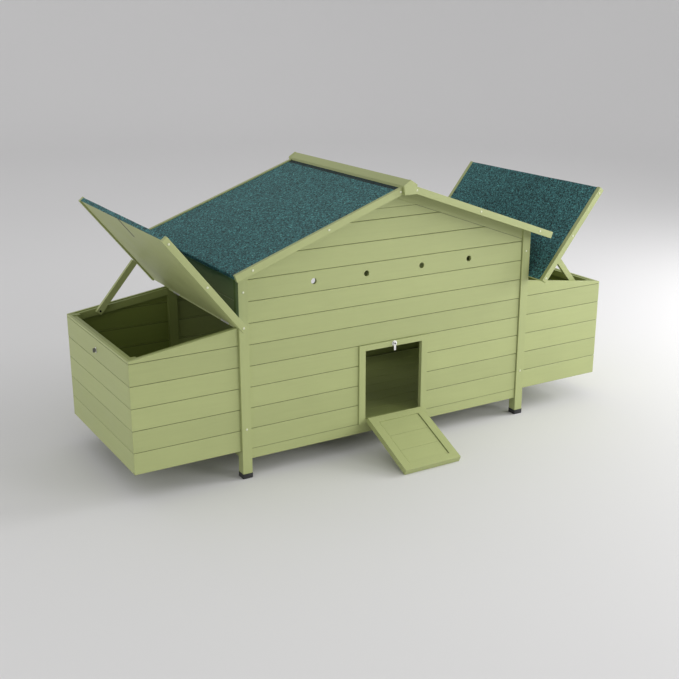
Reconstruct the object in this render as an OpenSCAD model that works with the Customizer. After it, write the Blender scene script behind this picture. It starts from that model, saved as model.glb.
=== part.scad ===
// Timber hen house on four legs, with a lidded nest box on each end.
// The front faces -Y, the house runs along X, and the ground is z = 0.
// Lengths are in millimetres and angles in degrees.

/* [House] */
// Length of the house over its corner posts
house_l = 1315; // [1000:5:1800]
// Depth of the house over its corner posts
house_d = 701; // [560:1:900]
// Height of the corner posts at their outer edge
post_h = 792; // [700:1:950]
// Side of the square corner posts
post_s = 38; // [30:1:50]
// Height of the bottom rails above the ground
rail_z = 74; // [50:1:150]
// Height of the bottom rails
rail_h = 38; // [30:1:50]
// How far the cladding stands back from the post faces
clad_recess = 6; // [3:0.5:10]
// Height of the black caps under the legs
cap_h = 19.5; // [12:0.5:30]
// Wall of the leg caps
cap_wall = 1.5; // [1:0.25:3]

/* [Boards] */
// Height that one wall board covers
board_w = 80; // [60:1:110]
// Height that one nest box board covers
nest_board_w = 81.3; // [60:0.1:110]
// Thickness of the boards
board_t = 12; // [9:0.5:18]
// Open seam between two boards
seam = 0.8; // [0.4:0.1:2]
// Chamfer along the face of each board
groove = 1.6; // [0.5:0.1:3]
// Height of the lap behind the next board
lap = 6; // [4:0.5:10]
// Clearance inside each lap
lap_gap = 0.15; // [0.1:0.05:0.4]

/* [Roof] */
// Slope of the roof
roof_slope = 19.8; // [12:0.1:30]
// Overhang past the corner posts at the eaves
eave_over = 47.5; // [20:0.5:90]
// Overhang of the bargeboards past the corner posts
gable_over = 79; // [50:1:110]
// Width of the bargeboards
barge_w = 26.4; // [22:0.1:50]
// Thickness of the bargeboards
barge_t = 15; // [10:1:25]
// How far the bargeboards stand above the felt
barge_proud = 4; // [1:0.5:8]
// Thickness of the roof deck
deck_t = 12; // [9:0.5:18]
// Thickness of the roofing felt
felt_t = 3; // [2:0.5:5]
// Depth of the rake rails under the deck
rake_w = 41; // [30:1:60]
// Height of the plate in the peak of each gable
apex_h = 34; // [20:1:60]
// Width of the ridge cap
ridge_w = 58; // [40:1:90]
// Height of the ridge cap above the bargeboards
ridge_h = 14.5; // [10:0.5:25]
// Height of the shoulder below the ridge line
ridge_fall = 19; // [10:0.5:30]
// Thickness of the blocks on the ends of the ridge
ridge_block_t = 12; // [8:1:20]
// Height of the ridge end blocks
ridge_block_h = 54; // [40:1:70]
// Width of the ridge and eave beams
beam_w = 38; // [30:1:50]
// Depth of the eave beams
beam_h = 50; // [38:1:70]

/* [Doors] */
// Width of the pop doorway
door_w = 260; // [200:1:320]
// Height of the pop doorway
door_h = 297; // [260:1:300]
// Width of the rear doorway
rear_w = 400; // [300:5:520]
// Number of wall boards that the rear doorway is cut through
rear_rows = 6; // [4:1:6]
// Width of the frame around both doorways
jamb_w = 28; // [20:1:40]
// Thickness of the frame around both doorways
jamb_t = 18; // [14:1:25]
// Gap around each side of the pop door
door_gap = 4; // [2:0.5:6]
// Gap below and above both doors
door_end_gap = 2; // [1:0.5:4]
// Thickness of the pop door, which folds down as the ramp
ramp_t = 24; // [18:1:30]
// Width of the ramp stiles
ramp_stile = 34; // [25:1:60]
// Width of the rails across both ends of the ramp
ramp_rail = 30; // [20:1:50]
// Thickness of the ramp planks
plank_t = 15; // [10:1:20]
// How far the ramp planks lie below the stiles
plank_sunk = 3; // [1:0.5:5]
// Gap between planks and stiles
plank_gap = 2.5; // [1:0.25:4]
// Thickness of the rear door
rear_t = 18; // [14:1:25]
// Width of the rails and stiles of the rear door
rear_rail = 42; // [30:1:60]
// Number of boards in the rear door
rear_planks = 4; // [2:1:6]

/* [Vents] */
// Diameter of the vent holes
vent_d = 23; // [12:1:35]
// Distance of the inner vents from the middle
vent_x1 = 125; // [80:1:180]
// Distance of the outer vents from the middle
vent_x2 = 351; // [250:1:420]
// Wall board that the vents are drilled in, counted from zero
vent_row = 7; // [6:1:7]

/* [Nest boxes] */
// Length of a nest box, away from the house
nest_l = 410; // [300:1:520]
// How far the nest boxes stand in from the faces of the corner posts
nest_set = 10; // [0:0.5:16]
// Height of the nest boxes above the ground
nest_z = 108; // [80:1:160]
// Height of the outer end of a nest box
nest_outer_h = 416; // [300:1:450]
// Height of a nest box where it meets the house
nest_inner_h = 473; // [440:1:475]
// Side of the corner posts in the nest boxes
nest_post = 30; // [20:1:40]
// Height of the rails along the top of the nest boxes
nest_rail_h = 28; // [20:1:40]
// Thickness of those rails
nest_rail_t = 15; // [10:1:20]
// How far those rails stop short of the top edge
nest_rail_drop = 3; // [1:0.5:6]
// Height of the partition in each nest box
divider_h = 200; // [120:5:260]
// Height of the board that keeps the straw in
lip_h = 60; // [30:5:120]

/* [Lids] */
// Overhang of a closed lid past the outer end of its nest box
lid_out = 43.6; // [20:0.1:80]
// Overhang of a lid past each side of its nest box
lid_over = 93; // [20:1:110]
// Thickness of the lid panel
lid_t = 14; // [10:1:20]
// Thickness of the battens along both sides of a lid
batten_t = 18; // [12:1:25]
// Depth of those battens
batten_h = 24; // [18:1:35]
// How far the battens stand above the panel
batten_up = 4; // [3:0.5:8]
// Gap between a closed lid and the nest box
lid_gap = 1.5; // [0.5:0.5:4]
// Angle of an open lid above the level
lid_open = 51.4; // [45:0.1:55]
// Length of the slot that runs in from the outer edge of a lid
slot_l = 73; // [40:1:90]
// Width of that slot
slot_w = 4; // [2:0.5:8]

/* [Lid props] */
// Length of a prop from its pivot to its free end
prop_l = 236; // [150:1:240]
// Width of a prop
prop_w = 24; // [18:1:26]
// Thickness of a prop
prop_t = 15; // [10:1:20]
// Length of a prop past its pivot
prop_tail = 11; // [8:1:14]
// Distance of the prop pivot from the house
prop_x = 288.5; // [200:0.5:320]
// Distance of the prop pivot below the edge of the nest box
prop_down = 13.9; // [12:0.1:20]
// Angle of a prop above the level when it holds the lid
prop_lean = 49.7; // [40:0.1:60]

/* [Inside] */
// Distance of the perches from the middle of the house
perch_x = 380; // [280:5:480]
// Height of the perches above the floor
perch_up = 190; // [120:5:300]
// Width of a perch
perch_w = 38; // [30:1:50]
// Height of a perch
perch_h = 32; // [25:1:40]
// Number of floor boards
floor_rows = 8; // [6:1:12]

/* [Ironmongery] */
// Distance from a hinge pin to the faces its leaves lie on
hinge_off = 5; // [4:0.5:7]
// Thickness of the hinge leaves
leaf_t = 1.8; // [1.5:0.1:2.5]
// Radius of the hinge barrels
barrel_r = 3.4; // [3:0.1:5]
// Radius of the hinge pins
pin_r = 1.8; // [1.2:0.1:2]
// Clearance around pins and pivot screws
pin_gap = 0.05; // [0.02:0.01:0.1]
// Length of a hinge
hinge_l = 66; // [40:1:90]
// Width of a hinge leaf
leaf_w = 24; // [16:1:30]
// Radius of the screw heads
screw_r = 4.2; // [3:0.1:6]
// Height of the screw heads
screw_h = 1.6; // [1:0.1:3]
// Radius of the latch plates
plate_r = 11; // [9:0.5:14]
// Length of the turn buttons below their screw
button_l = 28; // [20:1:34]

/* [Hidden] */
$fn = 48;

paint = [0.66, 0.70, 0.50];
felt_green = [0.20, 0.36, 0.36];
steel = [0.78, 0.78, 0.76];
black = [0.05, 0.05, 0.05];
cream = [0.88, 0.90, 0.76];

// House
post_x = house_l / 2;
post_y = house_d / 2;
in_x = post_x - post_s;
in_y = post_y - post_s;
clad_x = post_x - clad_recess;
clad_y = post_y - clad_recess;
rail_t = post_s - clad_recess;
wall_z = rail_z + rail_h;
leg_z = 3;
cap_gap = 0.1;
floor_over = 5;
floor_t = 12;
edge_gap = 0.3;

// Roof
deck_top = barge_proud + felt_t;
deck_low = deck_top + deck_t;
frame_low = deck_low + cap_gap;
rake_low = deck_low + rake_w;
roof_z = post_h + deck_low / cos(roof_slope) + post_x * tan(roof_slope);
eave_s = (post_x + eave_over) / cos(roof_slope);
barge_y = post_y + gable_over;
deck_y = barge_y - barge_t;
gable_z = under(0, rake_low);
apex_z = gable_z - apex_h;

// Doors
head_min = 8;
head_row = ceil((door_h + head_min) / board_w);
head_z = wall_z + head_row * board_w;
rear_head_z = wall_z + rear_rows * board_w;
rear_h = rear_rows * board_w - jamb_w;
ramp_y = -clad_y - hinge_off;
ramp_z = wall_z + 1;
ramp_w = door_w - 2 * door_gap;
ramp_low = wall_z + door_end_gap + 1;
ramp_top = wall_z + door_h - door_end_gap + 0.5;
ramp_tip = ramp_top - ramp_z;
ramp_fall = atan(hinge_off / ramp_tip)
            + acos(-ramp_z / sqrt(ramp_tip * ramp_tip + hinge_off * hinge_off));
rear_gap = 2;
rear_pin_x = rear_w / 2 - rear_gap / 2;
rear_pin_y = post_y + hinge_off;
rear_low = wall_z + door_end_gap;
rear_top = wall_z + rear_h - door_end_gap;

// Nest boxes
nest_x = post_x + nest_l;
nest_d = house_d - 2 * nest_set;
nest_y = nest_d / 2;
nest_fall = atan((nest_inner_h - nest_outer_h) / nest_l);
nest_rows = ceil(nest_inner_h / nest_board_w);
nest_in_y = nest_y - board_t;
nest_in_x = nest_x - board_t;

// Lids
rail_face = post_x - 2.5;
lid_x = rail_face + hinge_off;
lid_z = nest_edge(lid_x) + (lid_gap + lid_t) / cos(nest_fall);
lid_l = (nest_x - lid_x) / cos(nest_fall) + lid_out;
lid_w = nest_d + 2 * lid_over;
lid_screw_in = 20;
end_row = ceil((nest_z + nest_inner_h - wall_z) / board_w);
prop_pin_x = post_x + prop_x;
prop_pin_z = nest_edge(prop_pin_x) - prop_down;
prop_y = nest_in_y - nest_rail_t - edge_gap;

// Latches
button_z = (wall_z + door_h + head_z) / 2;
rear_button_x = -(rear_w + jamb_w) / 2;
rear_button_z = wall_z + rear_h / 2;
latch_drop = 52;
latch_z = nest_z + nest_outer_h - latch_drop;
pivot_depth = 12;
plate_t = 2;
button_t = 3;
button_lift = 0.4;
button_w = 9;

// Middle of the footprint, from the tip of the open ramp to the ridge's rear end
tip_y = ramp_y + (hinge_off + ramp_t) * cos(ramp_fall) - ramp_tip * sin(ramp_fall);
mid_y = (tip_y + barge_y + ridge_block_t) / 2;

// Height at x of the line that lies the depth d under the top of the roof
function under(x, d) = roof_z - abs(x) * tan(roof_slope) - d / cos(roof_slope);
// Point on the right roof slope: s down the slope from the ridge, d under its top
function on_roof(s, d) = [s * cos(roof_slope) - d * sin(roof_slope),
                          roof_z - s * sin(roof_slope) - d * cos(roof_slope)];
// Point at that depth beside an upright cut at the ridge, with half of an open seam there
function at_ridge(d, open = 0) = [open / 2, under(open / 2, d)];
// Height of the top edge of a nest box at x
function nest_edge(x) = nest_z + nest_inner_h - (x - post_x) * tan(nest_fall);
// Section of a lapped board: [0, 0] is its lower outside edge, and y goes into the wall
function board_section(w) = let (h = w - seam, m = board_t / 2)
    [[groove, 0], [0, groove], [0, h - groove], [groove, h], [m + lap_gap, h],
     [m + lap_gap, h + lap], [board_t, h + lap], [board_t, lap],
     [m - lap_gap, lap], [m - lap_gap, 0]];
// Parts of a wall board on either side of a doorway of half width w
function spans(half, w, cut) = cut ? [[-half, -w], [w, half]] : [[-half, half]];

// The whole model stands over the middle of its footprint
module place() { translate([0, -mid_y, 0]) children(); }
// Turns something made for the right-hand end to the left-hand end
module left_end() { rotate([0, 0, 180]) children(); }
// Extrudes an XZ outline from y0 to y1
module along_y(y0, y1) {
    translate([0, y1, 0]) rotate([90, 0, 0]) linear_extrude(y1 - y0) children();
}
// Box between two corners
module box(a, b) { translate(a) cube(b - a); }
// The same shape at both signs of x, or of y
module both_x() { children(); mirror([1, 0, 0]) children(); }
module both_y() { children(); mirror([0, 1, 0]) children(); }
// A board along X, from x0 to x1, whose outer face is at y = -dist
module board(x0, x1, dist, z, w) {
    translate([x0, -dist, z]) rotate([90, 0, 90])
        linear_extrude(x1 - x0) polygon(board_section(w));
}
// A lapped wall that faces -Y, clipped by an XZ outline
module clad(rows, half, dist, w, z0, outline, hole = 0, hole_rows = 0) {
    for (row = rows, span = spans(half, hole, row < hole_rows))
        intersection() {
            board(span[0], span[1], dist, z0 + row * w, w);
            along_y(-dist - 1, -dist + board_t + 1) polygon(outline);
        }
}

module floor_boards() {
    pitch = 2 * (in_y - edge_gap) / floor_rows;
    color(paint) for (i = [0:floor_rows - 1])
        box([-in_x + edge_gap, -in_y + edge_gap + i * pitch, wall_z + floor_over - floor_t],
            [in_x - edge_gap, -in_y + edge_gap + (i + 1) * pitch - seam, wall_z + floor_over]);
}

module floor_bearers() {
    color(paint) for (x = [-in_x * 2 / 3, 0, in_x * 2 / 3])
        box([x - beam_w / 2, -in_y, rail_z],
            [x + beam_w / 2, in_y, wall_z + floor_over - floor_t]);
}

module corner_posts() {
    color(paint) both_x() both_y()
        along_y(in_y, post_y)
            polygon([[in_x, leg_z], [post_x, leg_z], [post_x, under(post_x, frame_low)],
                     [in_x, under(in_x, frame_low)]]);
}

module foot_caps() {
    color(black) both_x() both_y() difference() {
        box([in_x - cap_wall, in_y - cap_wall, 0], [post_x + cap_wall, post_y + cap_wall, cap_h]);
        box([in_x - cap_gap, in_y - cap_gap, leg_z],
            [post_x + cap_gap, post_y + cap_gap, cap_h + 1]);
    }
}

module bottom_rails() {
    color(paint) {
        both_y() box([-in_x, in_y, rail_z], [in_x, in_y + rail_t, wall_z]);
        both_x() box([in_x, -in_y, rail_z], [in_x + rail_t, in_y, wall_z]);
    }
}

// Outline of the cladding in a gable, up to the plate in its peak
gable_outline = [[-in_x, wall_z], [in_x, wall_z], [in_x, under(in_x, rake_low)],
                 [(gable_z - apex_z + seam) / tan(roof_slope), apex_z - seam],
                 [-(gable_z - apex_z + seam) / tan(roof_slope), apex_z - seam],
                 [-in_x, under(in_x, rake_low)]];
gable_rows = ceil((apex_z - seam - wall_z) / board_w) - 1;

module front_boards() {
    color(paint) {
        clad([for (r = [0:gable_rows]) if (r != vent_row) r], in_x, clad_y, board_w, wall_z,
             gable_outline, door_w / 2 + jamb_w, head_row);
        difference() {
            clad([vent_row], in_x, clad_y, board_w, wall_z, gable_outline);
            for (x = [-vent_x2, -vent_x1, vent_x1, vent_x2])
                translate([x, 1 - clad_y + board_t, wall_z + (vent_row + 0.5) * board_w])
                    rotate([90, 0, 0]) cylinder(d = vent_d, h = board_t + 2);
        }
    }
}

module back_boards() {
    color(paint) rotate([0, 0, 180])
        clad([0:gable_rows], in_x, clad_y, board_w, wall_z, gable_outline,
             rear_w / 2 + jamb_w, rear_rows);
}

// Cladding over a nest box, from the lid's hinge rail up to the eave
module end_boards() {
    top = under(clad_x, deck_low) - edge_gap;
    rows = [end_row:ceil((top - wall_z) / board_w) - 1];
    color(paint) rotate([0, 0, 90])
        clad(rows, in_y, clad_x, board_w, wall_z,
             [[-in_y, wall_z], [in_y, wall_z], [in_y, top], [-in_y, top]]);
}
module left_end_boards() { left_end() end_boards(); }
module right_end_boards() { end_boards(); }

// Rails under the roof at both gables, with the plate in the peak
module rake_rails() {
    color(paint) both_y() {
        both_x() along_y(in_y, clad_y)
            polygon([at_ridge(frame_low, seam), [in_x, under(in_x, frame_low)],
                     [in_x, under(in_x, rake_low)], at_ridge(rake_low, seam)]);
        along_y(clad_y - board_t, clad_y)
            polygon([[-apex_h / tan(roof_slope), apex_z], [apex_h / tan(roof_slope), apex_z],
                     [0, gable_z]]);
    }
}

module roof_beams() {
    x1 = clad_x - board_t - edge_gap;
    x0 = x1 - beam_w;
    low = under(x1, deck_low) - beam_h;
    color(paint) {
        along_y(-in_y, in_y)
            polygon([[-beam_w / 2, under(0, frame_low) - beam_h],
                     [beam_w / 2, under(0, frame_low) - beam_h],
                     [beam_w / 2, under(beam_w / 2, frame_low)], at_ridge(frame_low),
                     [-beam_w / 2, under(beam_w / 2, frame_low)]]);
        both_x() along_y(-in_y, in_y)
            polygon([[x0, low], [x1, low], [x1, under(x1, frame_low)],
                     [x0, under(x0, frame_low)]]);
    }
}

module roof_deck() {
    color(paint) along_y(-deck_y, deck_y)
        polygon([at_ridge(deck_top), on_roof(eave_s - felt_t, deck_top),
                 on_roof(eave_s - felt_t, deck_low), at_ridge(deck_low)]);
}
module roof_deck_left() { left_end() roof_deck(); }
module roof_deck_right() { roof_deck(); }

// The felt turns down over the eave
module roof_felt() {
    color(felt_green) along_y(-deck_y, deck_y)
        polygon([at_ridge(barge_proud), on_roof(eave_s, barge_proud),
                 on_roof(eave_s, deck_low), on_roof(eave_s - felt_t, deck_low),
                 on_roof(eave_s - felt_t, deck_top), at_ridge(deck_top)]);
}
module roof_felt_left() { left_end() roof_felt(); }
module roof_felt_right() { roof_felt(); }

module bargeboards() {
    color(paint) both_y() both_x() along_y(deck_y, barge_y)
        polygon([at_ridge(0, seam), on_roof(eave_s, 0), on_roof(eave_s, barge_w),
                 at_ridge(barge_w, seam)]);
}

// The cap lies on the felt between the bargeboards and on their edges at both ends
module ridge_cap() {
    x = ridge_w / 2;
    peak = roof_z + ridge_h;
    color(paint) {
        for (part = [[-barge_y, -deck_y, 0], [-deck_y, deck_y, barge_proud],
                     [deck_y, barge_y, 0]])
            along_y(part[0], part[1])
                polygon([[0, peak], [x, peak - ridge_fall], [x, under(x, part[2])],
                         at_ridge(part[2]), [-x, under(x, part[2])],
                         [-x, peak - ridge_fall]]);
        both_y() along_y(barge_y, barge_y + ridge_block_t)
            polygon([[0, peak + 1], [x + 0.5, peak + 1 - ridge_fall],
                     [x - 5, peak + 1 - ridge_block_h], [5 - x, peak + 1 - ridge_block_h],
                     [-x - 0.5, peak + 1 - ridge_fall]]);
    }
}

// Two jambs and a head of jamb_w around a doorway, flush with the post faces, facing -Y
module door_frame(w, z1, top) {
    both_x() box([w / 2, -post_y, wall_z], [w / 2 + jamb_w, -post_y + jamb_t, top]);
    box([-w / 2, -post_y, z1], [w / 2, -post_y + jamb_t, top]);
}
module pop_door_frame() {
    color(paint) difference() {
        door_frame(door_w, wall_z + door_h, head_z);
        translate([0, -post_y - 1, button_z]) rotate([-90, 0, 0])
            cylinder(r = pin_r + pin_gap, h = pivot_depth + 2);
    }
}
module rear_door_frame() {
    color(paint) difference() {
        rotate([0, 0, 180]) door_frame(rear_w, wall_z + rear_h, rear_head_z);
        translate([rear_button_x, post_y + 1, rear_button_z]) rotate([90, 0, 0])
            cylinder(r = pin_r + pin_gap, h = pivot_depth + 2);
    }
}

module lid_hinge_rails() {
    color(paint) both_x()
        box([in_x, -in_y, lid_z - leaf_w - 1],
            [rail_face, in_y, wall_z + end_row * board_w - edge_gap]);
}

// A perch is a bar with a rounded top that lies across the house in four notched cleats
module perches() {
    z = wall_z + floor_over + perch_up;
    cleat = 14;
    y0 = clad_y - board_t;
    r = perch_h / 4;
    color(paint) both_x() {
        translate([perch_x, 0, 0]) along_y(-y0 + edge_gap, y0 - edge_gap) {
            translate([-perch_w / 2, z]) square([perch_w, perch_h - r]);
            translate([-perch_w / 2 + r, z]) square([perch_w - 2 * r, perch_h]);
            for (s = [-1, 1]) translate([s * (perch_w / 2 - r), z + perch_h - r]) circle(r);
        }
        both_y() {
            box([perch_x - perch_w / 2 - cleat, y0 - 2 * cleat, z - cleat],
                [perch_x + perch_w / 2 + cleat, y0, z - edge_gap]);
            for (s = [-1, 1]) translate([s * (perch_w / 2 + edge_gap + cleat / 2), 0, 0])
                box([perch_x - cleat / 2, y0 - 2 * cleat, z - edge_gap],
                    [perch_x + cleat / 2, y0, z + perch_h / 2]);
        }
    }
}

// A low board on each end rail keeps the straw in the nest box
module nest_lips() {
    color(paint) both_x()
        box([clad_x - board_t, -in_y, wall_z], [clad_x, in_y, wall_z + lip_h]);
}

// Nest boxes, made for the right-hand end
nest_outline = [[post_x, nest_z], [nest_x, nest_z], [nest_x, nest_edge(nest_x)],
                [post_x, nest_edge(post_x)]];

module nest_front() {
    color(paint)
        for (row = [0:nest_rows - 1]) intersection() {
            board(post_x, nest_x, nest_y, nest_z + row * nest_board_w, nest_board_w);
            along_y(-nest_y - 1, -nest_in_y + 1) polygon(nest_outline);
        }
}
module nest_back() { mirror([0, 1, 0]) nest_front(); }
module nest_end() {
    top = nest_edge(nest_x);
    rows = [0:ceil((top - nest_z) / nest_board_w) - 1];
    color(paint) difference() {
        rotate([0, 0, 90])
            clad(rows, nest_in_y, nest_x, nest_board_w, nest_z,
                 [[-nest_in_y, nest_z], [nest_in_y, nest_z], [nest_in_y, top],
                  [-nest_in_y, top]]);
        translate([nest_x - board_t - 1, 0, latch_z]) rotate([0, 90, 0])
            cylinder(r = pin_r + pin_gap, h = board_t + 2);
    }
}
module nest_floor() {
    color(paint) box([post_x, -nest_in_y + edge_gap, nest_z],
                     [nest_in_x - edge_gap, nest_in_y - edge_gap, nest_z + floor_t]);
}
// Corner posts and top rails inside the nest box
module nest_frame() {
    x0 = nest_in_x - nest_post;
    y0 = nest_in_y - nest_post;
    top = nest_edge(nest_in_x);
    color(paint) difference() {
        union() {
            both_y() {
                box([x0, y0, nest_z + floor_t], [nest_in_x, nest_in_y, top]);
                along_y(nest_in_y - nest_rail_t, nest_in_y)
                    polygon([for (p = [[post_x, 0], [x0, 0], [x0, nest_rail_h],
                                       [post_x, nest_rail_h]])
                             [p[0], nest_edge(p[0]) - nest_rail_drop - p[1]]]);
            }
            box([nest_in_x - nest_rail_t, -y0, top - nest_rail_h],
                [nest_in_x, y0, top - nest_rail_drop]);
        }
        translate([prop_pin_x, -nest_in_y - 1, prop_pin_z]) rotate([-90, 0, 0])
            cylinder(r = pin_r + pin_gap, h = nest_rail_t + 2);
    }
}
module nest_divider() {
    color(paint) box([post_x + edge_gap, -board_t / 2, nest_z + floor_t],
                     [nest_in_x - nest_rail_t - edge_gap, board_t / 2,
                      nest_z + floor_t + divider_h]);
}
module left_nest_front() { left_end() nest_back(); }
module left_nest_back() { left_end() nest_front(); }
module left_nest_end() { left_end() nest_end(); }
module left_nest_floor() { left_end() nest_floor(); }
module left_nest_frame() { left_end() nest_frame(); }
module left_nest_divider() { left_end() nest_divider(); }
module right_nest_front() { nest_front(); }
module right_nest_back() { nest_back(); }
module right_nest_end() { nest_end(); }
module right_nest_floor() { nest_floor(); }
module right_nest_frame() { nest_frame(); }
module right_nest_divider() { nest_divider(); }

// Half of a butt hinge on a pin along Y at the origin: a leaf on the face at
// x = -hinge_off that hangs down, with its knuckles
module hinge_leaf(length, width, knuckles) {
    difference() {
        union() {
            for (k = knuckles) translate([0, k[0], 0]) rotate([-90, 0, 0])
                cylinder(r = barrel_r, h = k[1] - k[0]);
            for (k = knuckles)
                box([-hinge_off, k[0], -barrel_r - 1], [leaf_t - hinge_off, k[1], 0]);
            box([-hinge_off, -length / 2, -width],
                [leaf_t - hinge_off, length / 2, -barrel_r - 0.6]);
        }
        translate([0, -length / 2 - 1, 0]) rotate([-90, 0, 0])
            cylinder(r = pin_r + pin_gap, h = length + 2);
    }
}
// Knuckles at both ends, and the one between them
function outer_knuckles(l) = [[-l / 2, -l / 6], [l / 6, l / 2]];
function inner_knuckle(l) = [[edge_gap - l / 6, l / 6 - edge_gap]];
module hinge_pin(l) { rotate([-90, 0, 0]) translate([0, 0, -l / 2]) cylinder(r = pin_r, h = l); }
module fixed_half(l, w) {
    hinge_leaf(l, w, outer_knuckles(l));
    hinge_pin(l);
}

// Where the hinges stand along each lid, the ramp and the rear door
lid_hinge_y = nest_d / 3;
ramp_hinge_x = door_w / 4;
rear_hinge_in = 80;
rear_hinge_z = [wall_z + rear_hinge_in, wall_z + rear_h - rear_hinge_in];
module lid_hinges_at() {
    for (y = [-lid_hinge_y, lid_hinge_y]) translate([lid_x, y, lid_z]) children();
}
module ramp_hinges_at() {
    for (x = [-ramp_hinge_x, ramp_hinge_x])
        translate([x, ramp_y, ramp_z]) rotate([0, 0, -90]) children();
}
module rear_hinges_at() {
    for (z = rear_hinge_z)
        translate([rear_pin_x, rear_pin_y, z]) rotate([90, 0, 90]) children();
}

module fixed_hinge_leaves() {
    color(steel) {
        lid_hinges_at() fixed_half(hinge_l, leaf_w);
        left_end() lid_hinges_at() fixed_half(hinge_l, leaf_w);
        ramp_hinges_at() fixed_half(hinge_l, leaf_w);
        rear_hinges_at() mirror([0, 0, 1]) fixed_half(hinge_l, leaf_w);
    }
}

// Shallow screw head on a face that looks along -Y
module screw_head(at) {
    translate(at) rotate([90, 0, 0]) {
        cylinder(r = screw_r, h = screw_h / 2);
        translate([0, 0, screw_h / 2]) cylinder(r1 = screw_r, r2 = screw_r * 0.7, h = screw_h / 2);
    }
}
// Pivot screw along -Y, whose shank starts at depth behind the origin
module pivot_screw(depth, reach) {
    rotate([90, 0, 0]) {
        translate([0, 0, -depth]) cylinder(r = pin_r, h = depth + reach);
        translate([0, 0, reach]) cylinder(r = screw_r, h = screw_h);
    }
}
// Three screws along each bargeboard, and one near each end of the corner posts
barge_first = 40;
barge_last = post_x - 16.5;
barge_screws = [for (i = [0:2])
                (barge_first + i * (barge_last - barge_first) / 2) / cos(roof_slope)];
post_screw_in = 82;
post_screws = [wall_z + post_screw_in, under(post_x, deck_low) - post_screw_in];
module fixing_screws() {
    mid = post_x - post_s / 2;
    color(cream) {
        both_y() both_x() {
            for (s = barge_screws) let (p = on_roof(s, barge_w / 2))
                screw_head([p[0], -barge_y, p[1]]);
            for (z = post_screws) screw_head([mid, -post_y, z]);
        }
        for (a = [0, 180]) rotate([0, 0, a])
            translate([prop_pin_x, -prop_y, prop_pin_z]) rotate([0, 0, 180])
                pivot_screw(pivot_depth, prop_t + edge_gap);
    }
}

// Round plate with its middle at the origin, facing -Y
module latch_plate() {
    difference() {
        rotate([90, 0, 0]) cylinder(r = plate_r, h = plate_t);
        translate([0, 1, 0]) rotate([90, 0, 0]) cylinder(r = pin_r + pin_gap, h = plate_t + 2);
    }
}
// Oval plate of the nest box latch, facing -Y
module nest_latch_plate() {
    // Height and radius of the plate's two round ends
    low = [-3, 8.5];
    high = [5, 6];
    difference() {
        union() {
            for (end = [low, high]) translate([0, 0, end[0]]) rotate([90, 0, 0])
                cylinder(r = end[1], h = plate_t);
            box([-high[1], -plate_t, low[0]], [high[1], 0, high[0]]);
        }
        translate([0, 1, 0]) rotate([90, 0, 0]) cylinder(r = pin_r + pin_gap, h = plate_t + 2);
    }
}
module latch_plates() {
    reach = plate_t + 2 * button_lift + button_t;
    color(steel) {
        translate([0, -post_y, button_z]) {
            latch_plate();
            pivot_screw(pivot_depth, reach);
        }
        translate([rear_button_x, post_y, rear_button_z]) rotate([0, 0, 180]) {
            latch_plate();
            pivot_screw(pivot_depth, reach);
        }
        for (a = [90, -90]) rotate([0, 0, a]) translate([0, -nest_x, latch_z])
            nest_latch_plate();
    }
}

// Lids, made flat in the frame of their hinge: x runs from the hinge to the outer edge
// and z = 0 is the top of the panel
module lid_place() { translate([lid_x, 0, lid_z]) rotate([0, -lid_open, 0]) children(); }
panel_y = lid_w / 2 - batten_t;
module lid_panel() {
    color(paint) lid_place() difference() {
        box([hinge_off, -panel_y, -lid_t], [lid_l, panel_y, 0]);
        box([lid_l - slot_l, -slot_w / 2, -lid_t - 1], [lid_l + 1, slot_w / 2, 1]);
    }
}
// The felt turns down over the outer edge of the lid
module lid_felt() {
    color(felt_green) lid_place() along_y(-panel_y, panel_y)
        polygon([[hinge_off, 0], [hinge_off, felt_t], [lid_l + felt_t, felt_t],
                 [lid_l + felt_t, -lid_t], [lid_l, -lid_t], [lid_l, 0]]);
}
module lid_battens() {
    color(paint) lid_place() both_y()
        box([hinge_off, panel_y, batten_up - batten_h], [lid_l + felt_t, lid_w / 2, batten_up]);
}
module lid_hinges() {
    color(steel) lid_place() for (y = [-lid_hinge_y, lid_hinge_y]) translate([0, y, 0])
        mirror([1, 0, 0]) hinge_leaf(hinge_l, lid_t, inner_knuckle(hinge_l));
}
module lid_screws() {
    color(cream) lid_place() both_y()
        for (u = [lid_screw_in, lid_l / 2, lid_l - lid_screw_in])
            screw_head([u, -lid_w / 2, batten_up - batten_h / 2]);
}
module left_lid_panel() { left_end() lid_panel(); }
module left_lid_felt() { left_end() lid_felt(); }
module left_lid_battens() { left_end() lid_battens(); }
module left_lid_hinges() { left_end() lid_hinges(); }
module left_lid_screws() { left_end() lid_screws(); }
module right_lid_panel() { lid_panel(); }
module right_lid_felt() { lid_felt(); }
module right_lid_battens() { lid_battens(); }
module right_lid_hinges() { lid_hinges(); }
module right_lid_screws() { lid_screws(); }

// The prop turns on a screw in the top rail and leans back towards the house
module lid_prop() {
    color(paint) translate([prop_pin_x, -prop_y, prop_pin_z])
        rotate([0, prop_lean - 180, 0]) difference() {
            box([-prop_tail, 0, -prop_w / 2], [prop_l, prop_t, prop_w / 2]);
            translate([0, -1, 0]) rotate([-90, 0, 0])
                cylinder(r = pin_r + pin_gap, h = prop_t + 2);
        }
}
module left_lid_prop() { left_end() lid_prop(); }
module right_lid_prop() { lid_prop(); }

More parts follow.
